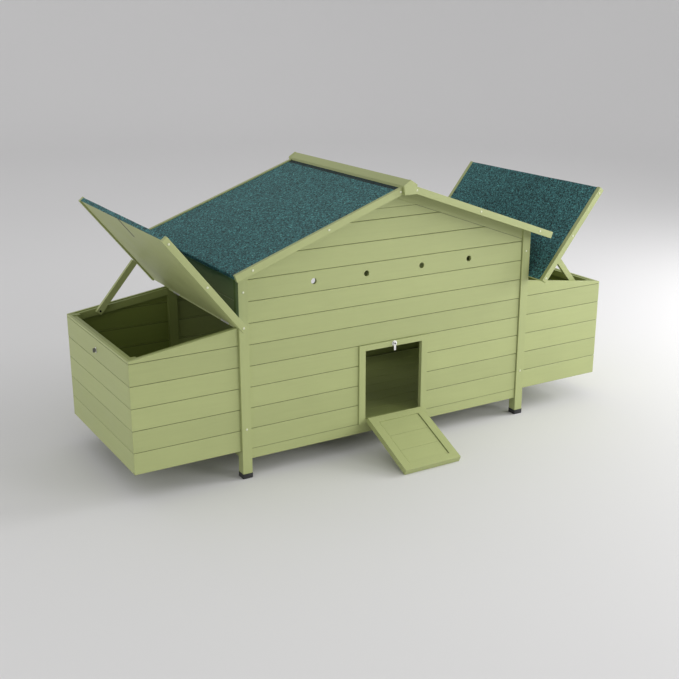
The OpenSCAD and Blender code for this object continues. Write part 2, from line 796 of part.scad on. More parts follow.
// The pop door is drawn shut and then let down until its end lies on the ground
module ramp_place() {
    translate([0, ramp_y, ramp_z]) rotate([ramp_fall, 0, 0]) translate([0, -ramp_y, -ramp_z])
        children();
}
module ramp_frame() {
    y0 = -clad_y;
    color(paint) ramp_place() {
        both_x() box([ramp_w / 2 - ramp_stile, y0, ramp_low], [ramp_w / 2, y0 + ramp_t, ramp_top]);
        for (z = [ramp_low, ramp_top - ramp_rail])
            box([ramp_stile - ramp_w / 2, y0, z],
                [ramp_w / 2 - ramp_stile, y0 + ramp_t, z + ramp_rail]);
    }
}
module ramp_planks() {
    x = ramp_w / 2 - ramp_stile - plank_gap;
    y1 = ramp_t - plank_sunk - clad_y;
    z0 = ramp_low + ramp_rail + seam;
    z1 = ramp_top - ramp_rail - seam;
    count = max(1, round((z1 - z0) / board_w));
    edges = [for (i = [0:count - 1]) z0 + i * board_w, z1];
    strip_w = 8;
    strip_t = 5;
    color(paint) ramp_place() {
        for (i = [0:count - 1])
            box([-x, y1 - plank_t, edges[i]], [x, y1, edges[i + 1] - (i < count - 1 ? seam : 0)]);
        // A wide strip under the gaps joins the planks to the stiles
        both_x() box([x - strip_w, y1 - plank_t - strip_t, z0],
                     [x + plank_gap, y1 - plank_t, z1]);
    }
}
module ramp_hinges() {
    color(steel) ramp_place() ramp_hinges_at() mirror([0, 0, 1])
        hinge_leaf(hinge_l, leaf_w, inner_knuckle(hinge_l));
}

// The rear door is drawn shut and then folded right back against the wall
module rear_place() {
    translate([rear_pin_x, rear_pin_y, 0]) rotate([0, 0, -180])
        translate([-rear_pin_x, -rear_pin_y, 0]) children();
}
module rear_door() {
    x = rear_w / 2 - rear_gap;
    y1 = post_y;
    y0 = y1 - rear_t;
    rail = rear_rail;
    pitch = (rear_top - rear_low - 2 * rail) / rear_planks;
    color(paint) rear_place() {
        both_x() box([x - rail, y0, rear_low], [x, y1, rear_top]);
        for (z = [rear_low, rear_top - rail])
            box([rail - x, y0, z], [x - rail, y1, z + rail]);
        for (i = [0:rear_planks - 1])
            box([rail - x, y1 - board_t - plank_sunk, rear_low + rail + i * pitch + seam / 2],
                [x - rail, y1 - plank_sunk, rear_low + rail + (i + 1) * pitch - seam / 2]);
    }
}
module rear_door_hinges() {
    color(steel) rear_place() rear_hinges_at()
        hinge_leaf(hinge_l, leaf_w, inner_knuckle(hinge_l));
}

// Turn button that hangs from its screw, facing -Y
module turn_button() {
    translate([0, -plate_t - button_lift, 0]) difference() {
        union() {
            rotate([90, 0, 0]) cylinder(r = button_w * 0.8, h = button_t);
            box([-button_w / 2, -button_t, -button_l + button_w / 2], [button_w / 2, 0, 0]);
            translate([0, 0, -button_l + button_w / 2]) rotate([90, 0, 0])
                cylinder(d = button_w, h = button_t);
        }
        translate([0, 1, 0]) rotate([90, 0, 0])
            cylinder(r = pin_r + pin_gap, h = button_t + 2);
    }
}
module pop_door_button() { color(steel) translate([0, -post_y, button_z]) turn_button(); }
module rear_door_button() {
    color(steel) translate([rear_button_x, post_y, rear_button_z]) rotate([0, 0, 180])
        turn_button();
}

// Knob of the nest box latch, with its spindle through the wall and a cam inside
module nest_latch() {
    cam_l = 26;
    cam_w = 9;
    cam_t = 2.5;
    knob_r = 5.5;
    knob_h = 7;
    grip_l = 16;
    grip_t = 3;
    grip_h = knob_h + 3;
    face = plate_t + button_lift;
    spindle = board_t + button_lift + cam_t;
    color(steel) rotate([0, 0, 90]) translate([0, -nest_x, latch_z]) {
        rotate([90, 0, 0]) {
            translate([0, 0, face]) cylinder(r = knob_r, h = knob_h);
            translate([0, 0, -spindle]) cylinder(r = pin_r, h = spindle + face);
        }
        box([-grip_t / 2, -face - grip_h, -grip_l / 2], [grip_t / 2, -face - 1, grip_l / 2]);
        box([-cam_w / 2, spindle - cam_t, -cam_l], [cam_w / 2, spindle, cam_w / 2]);
    }
}
module left_nest_latch() { left_end() nest_latch(); }
module right_nest_latch() { nest_latch(); }

place() floor_boards();
place() floor_bearers();
place() corner_posts();
place() foot_caps();
place() bottom_rails();
place() front_boards();
place() back_boards();
place() left_end_boards();
place() right_end_boards();
place() rake_rails();
place() roof_beams();
place() roof_deck_left();
place() roof_deck_right();
place() roof_felt_left();
place() roof_felt_right();
place() bargeboards();
place() ridge_cap();
place() pop_door_frame();
place() rear_door_frame();
place() lid_hinge_rails();
place() perches();
place() nest_lips();
place() left_nest_front();
place() left_nest_back();
place() left_nest_end();
place() left_nest_floor();
place() left_nest_frame();
place() left_nest_divider();
place() right_nest_front();
place() right_nest_back();
place() right_nest_end();
place() right_nest_floor();
place() right_nest_frame();
place() right_nest_divider();
place() fixed_hinge_leaves();
place() fixing_screws();
place() latch_plates();
place() left_lid_panel();
place() left_lid_felt();
place() left_lid_battens();
place() left_lid_hinges();
place() left_lid_screws();
place() right_lid_panel();
place() right_lid_felt();
place() right_lid_battens();
place() right_lid_hinges();
place() right_lid_screws();
place() left_lid_prop();
place() right_lid_prop();
place() ramp_frame();
place() ramp_planks();
place() ramp_hinges();
place() rear_door();
place() rear_door_hinges();
place() pop_door_button();
place() rear_door_button();
place() left_nest_latch();
place() right_nest_latch();
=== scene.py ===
import math

import bpy
from mathutils import Matrix, Vector


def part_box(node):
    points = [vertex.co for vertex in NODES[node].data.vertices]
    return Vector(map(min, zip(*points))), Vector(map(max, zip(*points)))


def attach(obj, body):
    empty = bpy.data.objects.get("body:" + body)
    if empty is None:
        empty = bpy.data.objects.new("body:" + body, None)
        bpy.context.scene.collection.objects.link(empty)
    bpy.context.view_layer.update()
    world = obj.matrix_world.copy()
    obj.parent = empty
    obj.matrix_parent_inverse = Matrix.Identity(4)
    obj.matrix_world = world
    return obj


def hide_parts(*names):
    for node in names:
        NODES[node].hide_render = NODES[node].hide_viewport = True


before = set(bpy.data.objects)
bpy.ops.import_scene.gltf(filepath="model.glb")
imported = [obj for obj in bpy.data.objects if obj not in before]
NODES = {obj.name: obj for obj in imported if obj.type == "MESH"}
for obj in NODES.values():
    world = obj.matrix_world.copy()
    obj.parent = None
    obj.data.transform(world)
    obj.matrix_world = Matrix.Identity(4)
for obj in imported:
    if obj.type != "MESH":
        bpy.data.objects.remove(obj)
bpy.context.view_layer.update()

bl_info = {
    "name": "Timber Hen House",
    "version": (1, 0, 0),
    "blender": (4, 5, 0),
    "location": "View3D > Sidebar > Hen House",
    "description": "Finishes a painted timber hen house with felt roofs, screws and metal fittings",
    "category": "Add Mesh",
}

HOUSE_LOW, HOUSE_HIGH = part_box("corner_posts")
MIDDLE = (HOUSE_LOW + HOUSE_HIGH) / 2
FLOOR_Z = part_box("foot_caps")[0].z

# How much of the darker inside stain the parts of the house have
STAIN = {"outside": 0, "nest_frame": 0.6, "house": 0.65, "roof": 0.7, "posts": 0.8, "nest": 1}

# Name, place, diameter in metres and power in watts of each studio light
LIGHTS = (("front_light", (4.5, -6.5, 2.5), 4.0, 215),
          ("side_light", (4.5, -1.2, 1.6), 2.5, 175),
          ("fill_light", (-5.0, -1.5, 0.8), 2.0, 24),
          ("rear_light", (-4.5, 3.5, 0.8), 2.0, 36))
LIGHTS_AIM = Vector((0, 0, 0.4))

# Width of the camera's sensor in millimetres
SENSOR = 36


# ---------------------------------------------------------------- settings

class PaintSettings(bpy.types.PropertyGroup):
    paint: bpy.props.FloatVectorProperty(
        name="Paint", description="Colour of the sage green wood paint",
        default=(0.355, 0.395, 0.165), subtype="COLOR", min=0, max=1)
    inside: bpy.props.FloatVectorProperty(
        name="Inside", description="Colour of the darker olive stain on the inside of the walls",
        default=(0.175, 0.215, 0.042), subtype="COLOR", min=0, max=1)
    # Dirt and painted shade in the joints between boards and where walls meet posts, rails and roof
    # rails
    joint_shade: bpy.props.FloatProperty(
        name="Joint shade", description="How dark the dirt in the joints between boards is",
        default=0.5, min=0, max=1, subtype="FACTOR")
    joint_width: bpy.props.FloatProperty(
        name="Joint width", description="Width of the dirt on each side of a joint between boards",
        default=0.0011, min=0.0002, max=0.005, unit="LENGTH")
    wall_joint: bpy.props.FloatProperty(
        name="Wall joint",
        description="Width of the dirt on each side of the line where a wall meets posts and rails",
        default=0.0024, min=0.0002, max=0.005, unit="LENGTH")
    gable_joint: bpy.props.FloatProperty(
        name="Gable joint",
        description="Width of the dirt on each side of the line where gable boards meet roof rails",
        default=0.002, min=0.0002, max=0.005, unit="LENGTH")
    # Painted shade round the slot in a lid: the slot's shadow is painted onto the wood on each side
    slot_shadow_width: bpy.props.FloatProperty(
        name="Slot mark", description="Width of the dark wood on each side of the slot in a lid",
        default=0.009, min=0.002, max=0.03, unit="LENGTH")
    slot_shade: bpy.props.FloatProperty(
        name="Slot shade", description="How dark the wood is around the slot in a lid",
        default=0.88, min=0, max=1, subtype="FACTOR")
    board_shift: bpy.props.FloatProperty(
        name="Board shift", description="How much lighter or darker one board is than the next",
        default=0.035, min=0, max=0.3, subtype="FACTOR")
    grain_shift: bpy.props.FloatProperty(
        name="Grain shift", description="How much the wood grain shows in the colour",
        default=0.05, min=0, max=0.5, subtype="FACTOR")
    grain_depth: bpy.props.FloatProperty(
        name="Grain depth", description="Height of the grain that shows through the paint",
        default=0.00035, min=0, max=0.002, unit="LENGTH")
    edge_round: bpy.props.FloatProperty(
        name="Eased edge", description="Width of the sanded edge on every piece of timber",
        default=0.0008, min=0.0001, max=0.003, unit="LENGTH")


class FeltSettings(bpy.types.PropertyGroup):
    felt: bpy.props.FloatVectorProperty(
        name="Felt", description="Main colour of the mineral roofing felt",
        default=(0.0345, 0.125, 0.129), subtype="COLOR", min=0, max=1)
    granule: bpy.props.FloatProperty(
        name="Granule", description="Size of the mineral granules",
        default=0.0057, min=0.001, max=0.02, unit="LENGTH")
    granule_depth: bpy.props.FloatProperty(
        name="Granule depth", description="Height of the granules",
        default=0.002, min=0, max=0.004, unit="LENGTH")
    thick: bpy.props.FloatProperty(
        name="Thickness", description="Thickness of the felt",
        default=0.003, min=0.001, max=0.006, unit="LENGTH")
    bend: bpy.props.FloatProperty(
        name="Bend", description="Radius of the felt where it turns down over an edge",
        default=0.004, min=0.003, max=0.01, unit="LENGTH")
    # Painted shadow: how far the felt is darkened out from under the ridge cap
    ridge_shadow: bpy.props.FloatProperty(
        name="Shadow", description="How far the grime reaches out from under the ridge cap",
        default=0.0175, min=0, max=0.05, unit="LENGTH")
    cell: bpy.props.FloatProperty(
        name="Mesh cell", description="Size of one mesh square in the felt sheets",
        default=0.006, min=0.003, max=0.05, unit="LENGTH")
    ripple: bpy.props.FloatProperty(
        name="Ripple", description="Height of the slow ripples in the felt",
        default=0.0012, min=0, max=0.005, unit="LENGTH")


class FittingSettings(bpy.types.PropertyGroup):
    zinc: bpy.props.FloatVectorProperty(
        name="Zinc", description="Colour of the plated steel fittings",
        default=(0.80, 0.80, 0.78), subtype="COLOR", min=0, max=1)
    dark: bpy.props.FloatVectorProperty(
        name="Dark steel", description="Colour of the darkened knobs of the nest box latches",
        default=(0.2, 0.2, 0.205), subtype="COLOR", min=0, max=1)
    screw: bpy.props.FloatVectorProperty(
        name="Screw", description="Colour of the pale screw heads",
        default=(0.68, 0.70, 0.52), subtype="COLOR", min=0, max=1)
    # Painted shade: the bolt heads are near black to stand in for the shade in the pivot holes
    bolt: bpy.props.FloatVectorProperty(
        name="Bolt", description="Colour of the blackened bolts that the props turn on",
        default=(0.012, 0.012, 0.012), subtype="COLOR", min=0, max=1)
    plastic: bpy.props.FloatVectorProperty(
        name="Plastic", description="Colour of the black caps on the legs",
        default=(0.013, 0.013, 0.014), subtype="COLOR", min=0, max=1)
    recess: bpy.props.FloatProperty(
        name="Cross recess", description="Depth of the cross in each screw head",
        default=0.0009, min=0.0003, max=0.002, unit="LENGTH")
    shank: bpy.props.FloatProperty(
        name="Bolt shank", description="Radius of the bolts that the props turn on",
        default=0.0018, min=0.001, max=0.003, unit="LENGTH")
    edge: bpy.props.FloatProperty(
        name="Metal edge", description="Width of the rounded edges of hinges and plates",
        default=0.0003, min=0.0001, max=0.001, unit="LENGTH")
    knob_edge: bpy.props.FloatProperty(
        name="Knob edge", description="Width of the rounded edges of the nest box latches",
        default=0.0009, min=0.0001, max=0.002, unit="LENGTH")
    cap_wall: bpy.props.FloatProperty(
        name="Cap wall", description="Thickness of the wall of a leg cap",
        default=0.001395, min=0.0005, max=0.003, unit="LENGTH")
    cap_corner: bpy.props.FloatProperty(
        name="Cap corner", description="Size of the rounded corners of a leg cap",
        default=0.0035, min=0.001, max=0.006, unit="LENGTH")
    cap_chamfer: bpy.props.FloatProperty(
        name="Cap chamfer", description="Size of the chamfer round the foot of a leg cap",
        default=0.0016, min=0.0005, max=0.003, unit="LENGTH")


class StageSettings(bpy.types.PropertyGroup):
    floor: bpy.props.FloatVectorProperty(
        name="Floor", description="Colour of the pale studio floor",
        default=(0.685, 0.68, 0.685), subtype="COLOR", min=0, max=1)
    floor_size: bpy.props.FloatProperty(
        name="Floor size", description="Radius of the flat part of the floor",
        default=9.0, min=4, max=30, unit="LENGTH")
    floor_bend: bpy.props.FloatProperty(
        name="Floor bend", description="Radius of the curve where the floor turns up into a wall",
        default=4.0, min=1, max=10, unit="LENGTH")
    floor_rise: bpy.props.FloatProperty(
        name="Floor rise", description="How far round its curve the floor turns up",
        default=math.radians(80), subtype="ANGLE", unit="ROTATION")
    sky: bpy.props.FloatProperty(
        name="Sky", description="Strength of the even white light from all round",
        default=0.69, min=0, max=5)
    eye: bpy.props.FloatVectorProperty(
        name="Camera place", description="Where the camera stands",
        default=(-2.195, -3.537, 1.683), subtype="TRANSLATION", unit="LENGTH")
    turn: bpy.props.FloatProperty(
        name="Camera turn", description="How far the camera is turned to the right of straight ahead",
        default=math.radians(30.7), subtype="ANGLE", unit="ROTATION")
    tilt: bpy.props.FloatProperty(
        name="Camera tilt", description="How far the camera looks down",
        default=math.radians(17.57), subtype="ANGLE", unit="ROTATION")
    lens: bpy.props.FloatProperty(
        name="Lens", description="Focal length in millimetres on a 36 mm sensor",
        default=56.78, min=20, max=200)


# ---------------------------------------------------------------- modelling helpers

def deselect():
    """Deselects everything, so that what follows acts on the new primitive alone."""
    bpy.ops.object.select_all(action="DESELECT")


def only(*pieces):
    """Selects these pieces alone and makes the first one active."""
    deselect()
    for piece in pieces:
        piece.select_set(True)
    bpy.context.view_layer.objects.active = pieces[0]


def discard(piece):
    """Removes a piece that was only there to make others, and its mesh."""
    mesh = piece.data
    bpy.data.objects.remove(piece)
    bpy.data.meshes.remove(mesh)


def pick(piece, kind, test):
    """Goes into edit mode with the faces, edges or vertices of the piece that pass the test."""
    only(piece)
    mesh = piece.data
    for group in (mesh.vertices, mesh.edges, mesh.polygons):
        group.foreach_set("select", [False] * len(group))
    chosen = {"FACE": mesh.polygons, "EDGE": mesh.edges, "VERT": mesh.vertices}[kind]
    for item in chosen:
        item.select = bool(test(item))
    tools = bpy.context.scene.tool_settings
    tools.mesh_select_mode = [kind == each for each in ("VERT", "EDGE", "FACE")]
    bpy.ops.object.mode_set(mode="EDIT")
    bpy.ops.mesh.select_mode(type=kind)


def leave():
    """Goes back to object mode."""
    bpy.ops.object.mode_set(mode="OBJECT")


def settle(piece):
    """Puts the piece's place into its mesh, so that its object sits at the origin."""
    only(piece)
    bpy.ops.object.transform_apply(location=True, rotation=True, scale=True)
    return piece


def use(piece, kind, **values):
    """Adds a modifier with these values and applies it."""
    only(piece)
    modifier = piece.modifiers.new(kind.title(), kind)
    for name, value in values.items():
        setattr(modifier, name, value)
    bpy.ops.object.modifier_apply(modifier=modifier.name)


def smooth(piece, degrees):
    """Shades the piece smooth, but for edges that are sharper than this."""
    only(piece)
    bpy.ops.object.shade_smooth_by_angle(angle=math.radians(degrees))


def outward(piece):
    """Merges doubled points and turns every face outwards."""
    pick(piece, "VERT", lambda v: True)
    bpy.ops.mesh.remove_doubles(threshold=1e-5)
    bpy.ops.mesh.normals_make_consistent(inside=False)
    leave()


def join(pieces, name):
    """Joins the pieces into one with this name."""
    only(*pieces)
    if len(pieces) > 1:
        bpy.ops.object.join()
    piece = bpy.context.object
    piece.name = piece.data.name = name
    return piece


def copy_of(piece, place=None):
    """A copy of the piece with a mesh of its own, moved by a matrix."""
    twin = piece.copy()
    twin.data = piece.data.copy()
    bpy.context.scene.collection.objects.link(twin)
    if place is not None:
        twin.data.transform(place)
    return twin


def solids(node):
    """(lowest corner, highest corner) of each separate solid in a CAD node."""
    twin = copy_of(NODES[node])
    twin.parent = None
    pick(twin, "VERT", lambda v: True)
    bpy.ops.mesh.remove_doubles(threshold=1e-5)
    bpy.ops.mesh.separate(type="LOOSE")
    leave()
    boxes = []
    for part in list(bpy.context.selected_objects):
        points = [v.co for v in part.data.vertices]
        boxes.append((Vector(min(p[i] for p in points) for i in range(3)),
                      Vector(max(p[i] for p in points) for i in range(3))))
        discard(part)
    return sorted(boxes, key=lambda b: tuple(round(c, 4) for c in (*b[0], *b[1])))


def finish_piece(piece, body, slot, material, *nodes):
    """Gives a finished piece its material and its body, and hides the CAD nodes that it stands for.
    """
    piece.data.materials.clear()
    piece.data.materials.append(material)
    settle(piece)
    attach(piece, body)
    if nodes:
        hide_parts(*nodes)


# ---------------------------------------------------------------- materials

def new_material(name):
    """A node material and a function that adds a node with its settings."""
    material = bpy.data.materials.new(name)
    material.use_nodes = True
    tree = material.node_tree
    tree.nodes.clear()

    def add(kind, inputs=None, **settings):
        node = tree.nodes.new(kind)
        for key, value in settings.items():
            setattr(node, key, value)
        for key, value in (inputs or {}).items():
            if isinstance(value, bpy.types.NodeSocket):
                tree.links.new(value, node.inputs[key])
            else:
                node.inputs[key].default_value = value
        return node

    return material, add


def shaded(add, **inputs):
    """Puts a Principled shader with these inputs on the surface."""
    shader = add("ShaderNodeBsdfPrincipled", {k.replace("_", " "): v for k, v in inputs.items()})
    add("ShaderNodeOutputMaterial", {"Surface": shader.outputs["BSDF"]})


def tinted(add, colour, amount, low, high, start=0.0, end=1.0):
    """The colour times a factor that goes from low to high as the amount goes from start to end."""
    factor = add("ShaderNodeMapRange", {"Value": amount, "From Min": start, "From Max": end,
                                        "To Min": low, "To Max": high})
    return add("ShaderNodeVectorMath", {0: colour, "Scale": factor.outputs["Result"]},
               operation="SCALE").outputs["Vector"]


def math_node(add, operation, *values):
    """Result of a Math node."""
    return add("ShaderNodeMath", dict(enumerate(values)), operation=operation).outputs["Value"]


def painted_timber(name, along, rise=0.0, base=0.0, joints=(), inner=None, stain=0.0,
                   slot=None):
    """Painted softwood with its grain along a direction. Places are taken as |x|, y and z.

    rise, base: height of one board, where boards lie one above the other, and height where
        the first one starts. Dirt and painted shade darken the joints between them.
    joints: a direction, a distance along it and half a width for each other darkened joint.
    inner: the axis across a wall, the distance of its inner face from the middle of the
        house, a height and a strength. That face has the darker stain above the height.
    stain: how much of the darker stain the whole piece has.
    slot: middle and half the width, along Y, of the painted shade round a slot, and how far
    out from the middle of the house it starts."""
    look = bpy.context.scene.coop_paint
    material, add = new_material(name)
    place = add("ShaderNodeTexCoord").outputs["Object"]
    split = add("ShaderNodeSeparateXYZ", {"Vector": place})
    side = math_node(add, "ABSOLUTE", split.outputs["X"])
    folded = add("ShaderNodeCombineXYZ", {"X": side, "Y": split.outputs["Y"],
                                          "Z": split.outputs["Z"]}).outputs["Vector"]

    # Long streaks and fine fibres along the grain, and slow patches of tone
    turn = Vector(along).rotation_difference(Vector((1, 0, 0))).to_euler()
    straight = add("ShaderNodeMapping", {"Vector": folded, "Rotation": turn})
    streak = add("ShaderNodeMapping", {"Vector": straight.outputs["Vector"],
                                       "Scale": (5, 90, 90)})
    fibre = add("ShaderNodeMapping", {"Vector": straight.outputs["Vector"],
                                      "Scale": (26, 620, 620)})
    bands = add("ShaderNodeTexNoise", {"Vector": streak.outputs["Vector"], "Scale": 1.0,
                                       "Detail": 4.0, "Roughness": 0.55, "Distortion": 0.4})
    hairs = add("ShaderNodeTexNoise", {"Vector": fibre.outputs["Vector"], "Scale": 1.0,
                                       "Detail": 2.0, "Roughness": 0.6})
    patches = add("ShaderNodeTexNoise", {"Vector": place, "Scale": 7.0, "Detail": 3.0})

    # Paint outside and stain inside
    amount = stain
    if inner:
        axis, reach, above, strength = inner
        off = side if axis == "X" else math_node(
            add, "ABSOLUTE", math_node(add, "SUBTRACT", split.outputs["Y"], MIDDLE.y))
        amount = math_node(add, "MULTIPLY", math_node(add, "LESS_THAN", off, reach),
                           math_node(add, "GREATER_THAN", split.outputs["Z"], above))
        amount = math_node(add, "MULTIPLY", amount, strength)
    shade = add("ShaderNodeMix", {0: amount, 6: (*look.paint, 1), 7: (*look.inside, 1)},
                data_type="RGBA").outputs[2]
    shade = tinted(add, shade, bands.outputs["Fac"], 1 - look.grain_shift,
                   1 + look.grain_shift)
    shade = tinted(add, shade, hairs.outputs["Fac"], 0.97, 1.03)
    shade = tinted(add, shade, patches.outputs["Fac"], 0.955, 1.045)

    # A tone of its own for each board. Dirt and painted shade in the joints
    dirt_and_shade = 0.0
    if rise:
        up = math_node(add, "SUBTRACT", split.outputs["Z"], base)
        row = math_node(add, "FLOOR", math_node(add, "DIVIDE", up, rise))
        own = add("ShaderNodeTexWhiteNoise", {"W": row}, noise_dimensions="1D")
        shade = tinted(add, shade, own.outputs["Value"],
                       1 - look.board_shift, 1 + look.board_shift)
        dirt_and_shade = math_node(add, "LESS_THAN", math_node(add, "PINGPONG", up, rise / 2),
                         look.joint_width)
    for line, distance, half in joints:
        along_line = add("ShaderNodeVectorMath", {0: folded, 1: line},
                         operation="DOT_PRODUCT")
        near = math_node(add, "COMPARE", along_line.outputs["Value"], distance, half)
        dirt_and_shade = math_node(add, "MAXIMUM", dirt_and_shade, near)
    if rise or joints:
        shade = tinted(add, shade, dirt_and_shade, 1.0, 1 - look.joint_shade)
    # Painted shade: the wood round the slot in a lid is darkened to stand in for the slot's shadow
    if slot:
        middle, half, begin = slot
        dark = math_node(add, "MULTIPLY",
                         math_node(add, "COMPARE", split.outputs["Y"], middle, half),
                         math_node(add, "GREATER_THAN", side, begin))
        shade = tinted(add, shade, dark, 1.0, 1 - look.slot_shade)

    # Grain that shows through the paint
    height = math_node(add, "MULTIPLY_ADD", bands.outputs["Fac"], 0.55, hairs.outputs["Fac"])
    bump = add("ShaderNodeBump", {"Height": height, "Strength": 0.6,
                                  "Distance": look.grain_depth})
    rough = add("ShaderNodeMapRange", {"Value": patches.outputs["Fac"], "To Min": 0.42,
                                       "To Max": 0.62})
    shaded(add, Base_Color=shade, Roughness=rough.outputs["Result"],
           Normal=bump.outputs["Normal"])
    return material


def mineral_felt(name):
    """Roofing felt with pressed-in mineral granules, a few of them pale, and painted shadow along the
    ridge cap.
    """
    look = bpy.context.scene.coop_felt
    material, add = new_material(name)
    place = add("ShaderNodeTexCoord").outputs["Object"]
    grains = add("ShaderNodeTexVoronoi", {"Vector": place, "Scale": 1 / look.granule,
                                          "Randomness": 1.0})
    lumps = add("ShaderNodeTexNoise", {"Vector": place, "Scale": 0.95 / look.granule,
                                       "Detail": 3.0, "Roughness": 0.6})
    clouds = add("ShaderNodeTexNoise", {"Vector": place, "Scale": 9.0, "Detail": 4.0,
                                        "Roughness": 0.6})
    split = add("ShaderNodeSeparateXYZ", {"Vector": place})
    side = math_node(add, "ABSOLUTE", split.outputs["X"])
    # Painted shadow: the felt is darkened in a strip along each side of the ridge cap
    ridge_shadow = math_node(add, "LESS_THAN", side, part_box("ridge_cap")[1].x + look.ridge_shadow)
    colour = add("ShaderNodeRGB")
    colour.outputs[0].default_value = (*look.felt, 1)
    shade = tinted(add, colour.outputs[0], lumps.outputs["Fac"], 0.12, 1.88, 0.36, 0.64)
    bright = add("ShaderNodeSeparateColor", {"Color": grains.outputs["Color"]})
    shade = tinted(add, shade, bright.outputs["Red"], 0.5, 1.5)
    shade = tinted(add, shade, clouds.outputs["Fac"], 0.86, 1.14)
    shade = tinted(add, shade, ridge_shadow, 1.0, 0.2)
    fleck = add("ShaderNodeMapRange", {"Value": bright.outputs["Green"], "From Min": 0.93,
                                       "From Max": 0.97})
    pale = add("ShaderNodeMix", {0: fleck.outputs["Result"], 6: (1, 1, 1, 1),
                                 7: (1.9, 1.6, 1.5, 1)}, data_type="RGBA")
    shade = add("ShaderNodeVectorMath", {0: shade, 1: pale.outputs[2]},
                operation="MULTIPLY").outputs["Vector"]
    dome = math_node(add, "SUBTRACT", 1.0, grains.outputs["Distance"])
    height = math_node(add, "MULTIPLY_ADD", dome, 0.6, lumps.outputs["Fac"])
    bump = add("ShaderNodeBump", {"Height": height, "Strength": 0.9,
                                  "Distance": look.granule_depth})
    shaded(add, Base_Color=shade, Roughness=0.88, Normal=bump.outputs["Normal"])
    return material


def plated_steel(name, shine, pivot=None):
    """Plated steel with a faint crystal pattern, fine scratches and, around a pivot along Y
    at this height in the middle of the house, a dark spot of painted shade."""
    material, add = new_material(name)
    place = add("ShaderNodeTexCoord").outputs["Object"]
    crystal = add("ShaderNodeTexVoronoi", {"Vector": place, "Scale": 420.0})
    wear = add("ShaderNodeTexNoise", {"Vector": place, "Scale": 160.0, "Detail": 4.0})
    colour = add("ShaderNodeRGB")
    colour.outputs[0].default_value = (*shine, 1)
    amount = add("ShaderNodeSeparateColor", {"Color": crystal.outputs["Color"]})
    shade = tinted(add, colour.outputs[0], amount.outputs["Red"], 0.85, 1.15)
    # Painted shade: a dark spot round the pivot of a turn button
    if pivot:
        split = add("ShaderNodeSeparateXYZ", {"Vector": place})
        flat = add("ShaderNodeCombineXYZ", {"X": split.outputs["X"], "Z": split.outputs["Z"]})
        away = add("ShaderNodeVectorMath", {0: flat.outputs["Vector"], 1: (0, 0, pivot)},
                   operation="DISTANCE").outputs["Value"]
        shade = tinted(add, shade, away, 0.08, 1.0, 0.0025, 0.0045)
    rough = add("ShaderNodeMapRange", {"Value": wear.outputs["Fac"], "To Min": 0.24,
                                       "To Max": 0.5})
    bump = add("ShaderNodeBump", {"Height": wear.outputs["Fac"], "Strength": 0.3,
                                  "Distance": 0.0001})
    shaded(add, Base_Color=shade, Metallic=1.0, Roughness=rough.outputs["Result"],
           Normal=bump.outputs["Normal"])
    return material


def coated_screw(name):
    """Pale coated screw heads with a little soiling in the coating."""
    look = bpy.context.scene.coop_fittings
    material, add = new_material(name)
    place = add("ShaderNodeTexCoord").outputs["Object"]
    spots = add("ShaderNodeTexNoise", {"Vector": place, "Scale": 700.0, "Detail": 3.0})
    colour = add("ShaderNodeRGB")
    colour.outputs[0].default_value = (*look.screw, 1)
    shade = tinted(add, colour.outputs[0], spots.outputs["Fac"], 0.86, 1.1)
    shaded(add, Base_Color=shade, Metallic=0.2, Roughness=0.36)
    return material


def moulded_plastic(name):
    """Black plastic with a fine spark-eroded texture and some dust."""
    look = bpy.context.scene.coop_fittings
    material, add = new_material(name)
    place = add("ShaderNodeTexCoord").outputs["Object"]
    fine = add("ShaderNodeTexNoise", {"Vector": place, "Scale": 900.0, "Detail": 2.0})
    dust = add("ShaderNodeTexNoise", {"Vector": place, "Scale": 45.0, "Detail": 4.0})
    dark = add("ShaderNodeRGB")
    dark.outputs[0].default_value = (*look.plastic, 1)
    shade = tinted(add, dark.outputs[0], dust.outputs["Fac"], 0.6, 1.7)
    bump = add("ShaderNodeBump", {"Height": fine.outputs["Fac"], "Strength": 0.4,
                                  "Distance": 0.0002})
    shaded(add, Base_Color=shade, Roughness=0.5, Normal=bump.outputs["Normal"])
    return material


# ---------------------------------------------------------------- timber

def slope_of(node):
    """Slope of the top of a sheet that falls or rises away from the middle, in (|x|, z)."""
    inner, outer, _ = sheet_corners(node)
    run = (abs(outer.x) - abs(inner.x), 0, outer.z - inner.z)
    return Vector(run).normalized()


def slot_start(node):
    """Distance from the middle of the house where the slot of an open lid starts."""
    beside, play = 0.01, 0.001
    return min(abs(v.co.x) for v in NODES[node].data.vertices
               if abs(v.co.y - MIDDLE.y) < beside) - play


def board_rise(node):
    """Height from one board of an end wall to the next, where each row is one board."""
    lows = [low.z for low, high in solids(node)]
    return (max(lows) - min(lows)) / (len(lows) - 1)


def inner_face(node, axis):
    """Distance of a wall's inner face from the middle of the house, with a hair's play."""
    play = 0.0005
    index = "XY".index(axis)
    return min(abs(corner[index] - MIDDLE[index]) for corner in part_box(node)) + play


def ease_edges(node, width):
    """Live modifiers that merge a CAD node's loose triangles and round its edges."""
    weld = node.modifiers.new("Merge", "WELD")
    weld.merge_threshold = 1e-5
    flat = node.modifiers.new("Flat faces", "DECIMATE")
    flat.decimate_type = "DISSOLVE"
    flat.angle_limit = math.radians(1)
    edge = node.modifiers.new("Eased edges", "BEVEL")
    edge.width = width
    edge.segments = 2
    edge.limit_method = "ANGLE"
    edge.angle_limit = math.radians(30)
    edge.use_clamp_overlap = True
    edge.harden_normals = True


